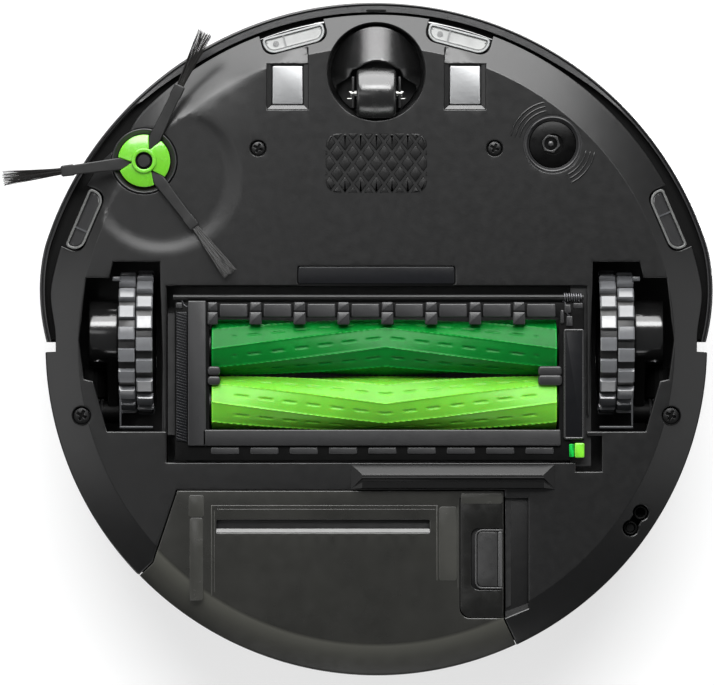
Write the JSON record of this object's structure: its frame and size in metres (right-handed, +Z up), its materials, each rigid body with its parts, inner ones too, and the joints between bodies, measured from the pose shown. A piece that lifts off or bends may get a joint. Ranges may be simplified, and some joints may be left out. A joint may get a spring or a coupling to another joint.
{
  "type": "robot vacuum",
  "caption": "Round floor-cleaning robot on sprung wheels and a caster, with a side brush, rubber brush rollers under a hinged frame and a slide-out dust bin.",
  "frame": {"origin": "on the floor under the middle of the machine's box, side brush included; the round body's axis stands 9.4 mm towards +X and 3.3 mm towards +Y of it", "axes": "+Z up; the robot drives towards -Y, so its own left is +X and the dust bin is at +Y"},
  "size_m": [0.3578, 0.3388, 0.092],
  "materials": {
    "charcoal_plastic": "fine-textured dark charcoal plastic",
    "black_plastic": "satin black plastic",
    "gloss_black": "glossy black plastic",
    "smoky_plastic": "smoky see-through plastic",
    "bumper_plastic": "satin dark grey plastic",
    "tyre_rubber": "dark grey rubber with block tread",
    "grey_plastic": "grey plastic",
    "contact_metal": "silver plated contact",
    "motor_steel": "plain steel",
    "screw_steel": "blackened steel",
    "clear_lens": "clear moulded lens",
    "lime_plastic": "bright lime green plastic",
    "green_rubber": "dark green rubber",
    "lime_rubber": "lime green rubber",
    "brush_rubber": "dark grey rubber",
    "bristle_nylon": "dark nylon bristles",
    "filter_paper": "pleated filter paper",
    "circuit_board": "green circuit board",
    "light_diffuser": "milky light ring"
  },
  "bodies": {
    "chassis": {"bottom_cover": "charcoal_plastic", "chassis_frame": "black_plastic", "top_cover": "charcoal_plastic", "light_ring": "light_diffuser", "battery_pack": "black_plastic", "main_board": "circuit_board", "label_plate": "gloss_black", "charging_contact_left": "contact_metal", "charging_contact_right": "contact_metal", "cliff_lens_front_left": "clear_lens", "cliff_lens_front_right": "clear_lens", "cliff_lens_side_left": "clear_lens", "cliff_lens_side_right": "clear_lens", "floor_sensor_housing": "black_plastic", "floor_sensor_lens": "gloss_black", "cleaning_head_housing": "black_plastic", "roller_gearbox": "black_plastic", "roller_motor": "motor_steel", "skid_bar": "charcoal_plastic", "side_brush_motor": "black_plastic", "fan_housing": "black_plastic", "caster_socket": "black_plastic", "cover_screw_front_left": "screw_steel", "cover_screw_front_right": "screw_steel", "cover_screw_rear_left": "screw_steel", "cover_screw_rear_right": "screw_steel"},
    "bumper": {"front_bumper": "bumper_plastic"},
    "arm_left": {"wheel_gearbox_left": "gloss_black", "drive_motor_left": "motor_steel", "suspension_spring_left": "motor_steel"},
    "arm_right": {"wheel_gearbox_right": "gloss_black", "drive_motor_right": "motor_steel", "suspension_spring_right": "motor_steel"},
    "wheel_left": {"tyre_left": "tyre_rubber", "wheel_rim_left": "black_plastic"},
    "wheel_right": {"tyre_right": "tyre_rubber", "wheel_rim_right": "black_plastic"},
    "caster_swivel": {"caster_fork": "gloss_black", "caster_axle": "motor_steel"},
    "caster_roll": {"caster_wheel": "gloss_black"},
    "side_brush": {"side_brush_hub": "lime_plastic", "side_brush_screw": "screw_steel", "side_brush_arms": "brush_rubber", "bristle_bundle_1": "bristle_nylon", "bristle_bundle_2": "bristle_nylon", "bristle_bundle_3": "bristle_nylon"},
    "front_roller": {"front_roller": "green_rubber", "front_roller_core": "black_plastic"},
    "rear_roller": {"rear_roller": "lime_rubber", "rear_roller_core": "black_plastic"},
    "roller_frame": {"roller_frame": "black_plastic"},
    "frame_tab": {"frame_release_tab": "lime_plastic"},
    "dust_bin": {"dust_bin": "smoky_plastic", "bin_filter": "filter_paper"},
    "bin_door": {"bin_door": "smoky_plastic"},
    "door_tab": {"door_release_tab": "grey_plastic"},
    "impeller": {"fan_impeller": "grey_plastic"},
    "clean_button": {"clean_button": "gloss_black"},
    "home_button": {"home_button": "gloss_black"},
    "spot_button": {"spot_button": "gloss_black"}
  },
  "joints": [
    {"name": "bumper_press", "type": "slide", "parent": "chassis", "child": "bumper", "axis": [0, 1, 0], "range_m": [0, 0.004], "stiffness_N_per_m": 700, "springref_m": -0.002},
    {"name": "arm_left_drop", "type": "hinge", "parent": "chassis", "child": "arm_left", "pos_m": [0.13, 0.0373, 0.042], "axis": [1, 0, 0], "range_deg": [0, 28], "stiffness_Nm_per_rad": 0.12, "springref_deg": 51.57},
    {"name": "arm_right_drop", "type": "hinge", "parent": "chassis", "child": "arm_right", "pos_m": [-0.1112, 0.0373, 0.042], "axis": [1, 0, 0], "range_deg": [0, 28], "stiffness_Nm_per_rad": 0.12, "springref_deg": 51.57},
    {"name": "wheel_left_spin", "type": "hinge", "parent": "arm_left", "child": "wheel_left", "pos_m": [0.13, 0.0019, 0.0365], "axis": [1, 0, 0], "continuous": true},
    {"name": "wheel_right_spin", "type": "hinge", "parent": "arm_right", "child": "wheel_right", "pos_m": [-0.1112, 0.0019, 0.0365], "axis": [1, 0, 0], "continuous": true},
    {"name": "caster_turn", "type": "hinge", "parent": "chassis", "child": "caster_swivel", "pos_m": [0.0094, -0.1339, 0.025], "axis": [0, 0, 1], "continuous": true},
    {"name": "caster_spin", "type": "hinge", "parent": "caster_swivel", "child": "caster_roll", "pos_m": [0.0094, -0.1229, 0.013], "axis": [1, 0, 0], "continuous": true},
    {"name": "side_brush_spin", "type": "hinge", "parent": "chassis", "child": "side_brush", "pos_m": [-0.107, -0.089, 0.008], "axis": [0, 0, 1], "continuous": true},
    {"name": "front_roller_spin", "type": "hinge", "parent": "chassis", "child": "front_roller", "pos_m": [0.0094, 0.0043, 0.0183], "axis": [1, 0, 0], "continuous": true},
    {"name": "rear_roller_spin", "type": "hinge", "parent": "chassis", "child": "rear_roller", "pos_m": [0.0094, 0.0327, 0.0183], "axis": [1, 0, 0], "continuous": true},
    {"name": "roller_frame_open", "type": "hinge", "parent": "chassis", "child": "roller_frame", "pos_m": [0.0094, -0.0207, 0.009], "axis": [-1, 0, 0], "range_deg": [0, 100]},
    {"name": "frame_tab_press", "type": "slide", "parent": "roller_frame", "child": "frame_tab", "axis": [-1, 0, 0], "range_m": [0, 0.0012], "stiffness_N_per_m": 400, "springref_m": -0.001},
    {"name": "bin_pull", "type": "slide", "parent": "chassis", "child": "dust_bin", "axis": [0, 1, 0], "range_m": [0, 0.105]},
    {"name": "bin_door_open", "type": "hinge", "parent": "dust_bin", "child": "bin_door", "pos_m": [0.0515, 0.0803, 0.0099], "axis": [0, 1, 0], "range_deg": [0, 80]},
    {"name": "door_tab_press", "type": "slide", "parent": "bin_door", "child": "door_tab", "axis": [-1, 0, 0], "range_m": [0, 0.0016], "stiffness_N_per_m": 300, "springref_m": -0.001},
    {"name": "impeller_spin", "type": "hinge", "parent": "chassis", "child": "impeller", "pos_m": [0.1054, 0.1005, 0.04], "axis": [0, 0, 1], "continuous": true},
    {"name": "clean_press", "type": "slide", "parent": "chassis", "child": "clean_button", "axis": [0, 0, -1], "range_m": [0, 0.001], "stiffness_N_per_m": 900, "springref_m": -0.0005},
    {"name": "home_press", "type": "slide", "parent": "chassis", "child": "home_button", "axis": [0, 0, -1], "range_m": [0, 0.001], "stiffness_N_per_m": 900, "springref_m": -0.0005},
    {"name": "spot_press", "type": "slide", "parent": "chassis", "child": "spot_button", "axis": [0, 0, -1], "range_m": [0, 0.001], "stiffness_N_per_m": 900, "springref_m": -0.0005}
  ],
  "couplings": [
    {"joint": "rear_roller_spin", "follows": "front_roller_spin", "ratio": -1}
  ]
}
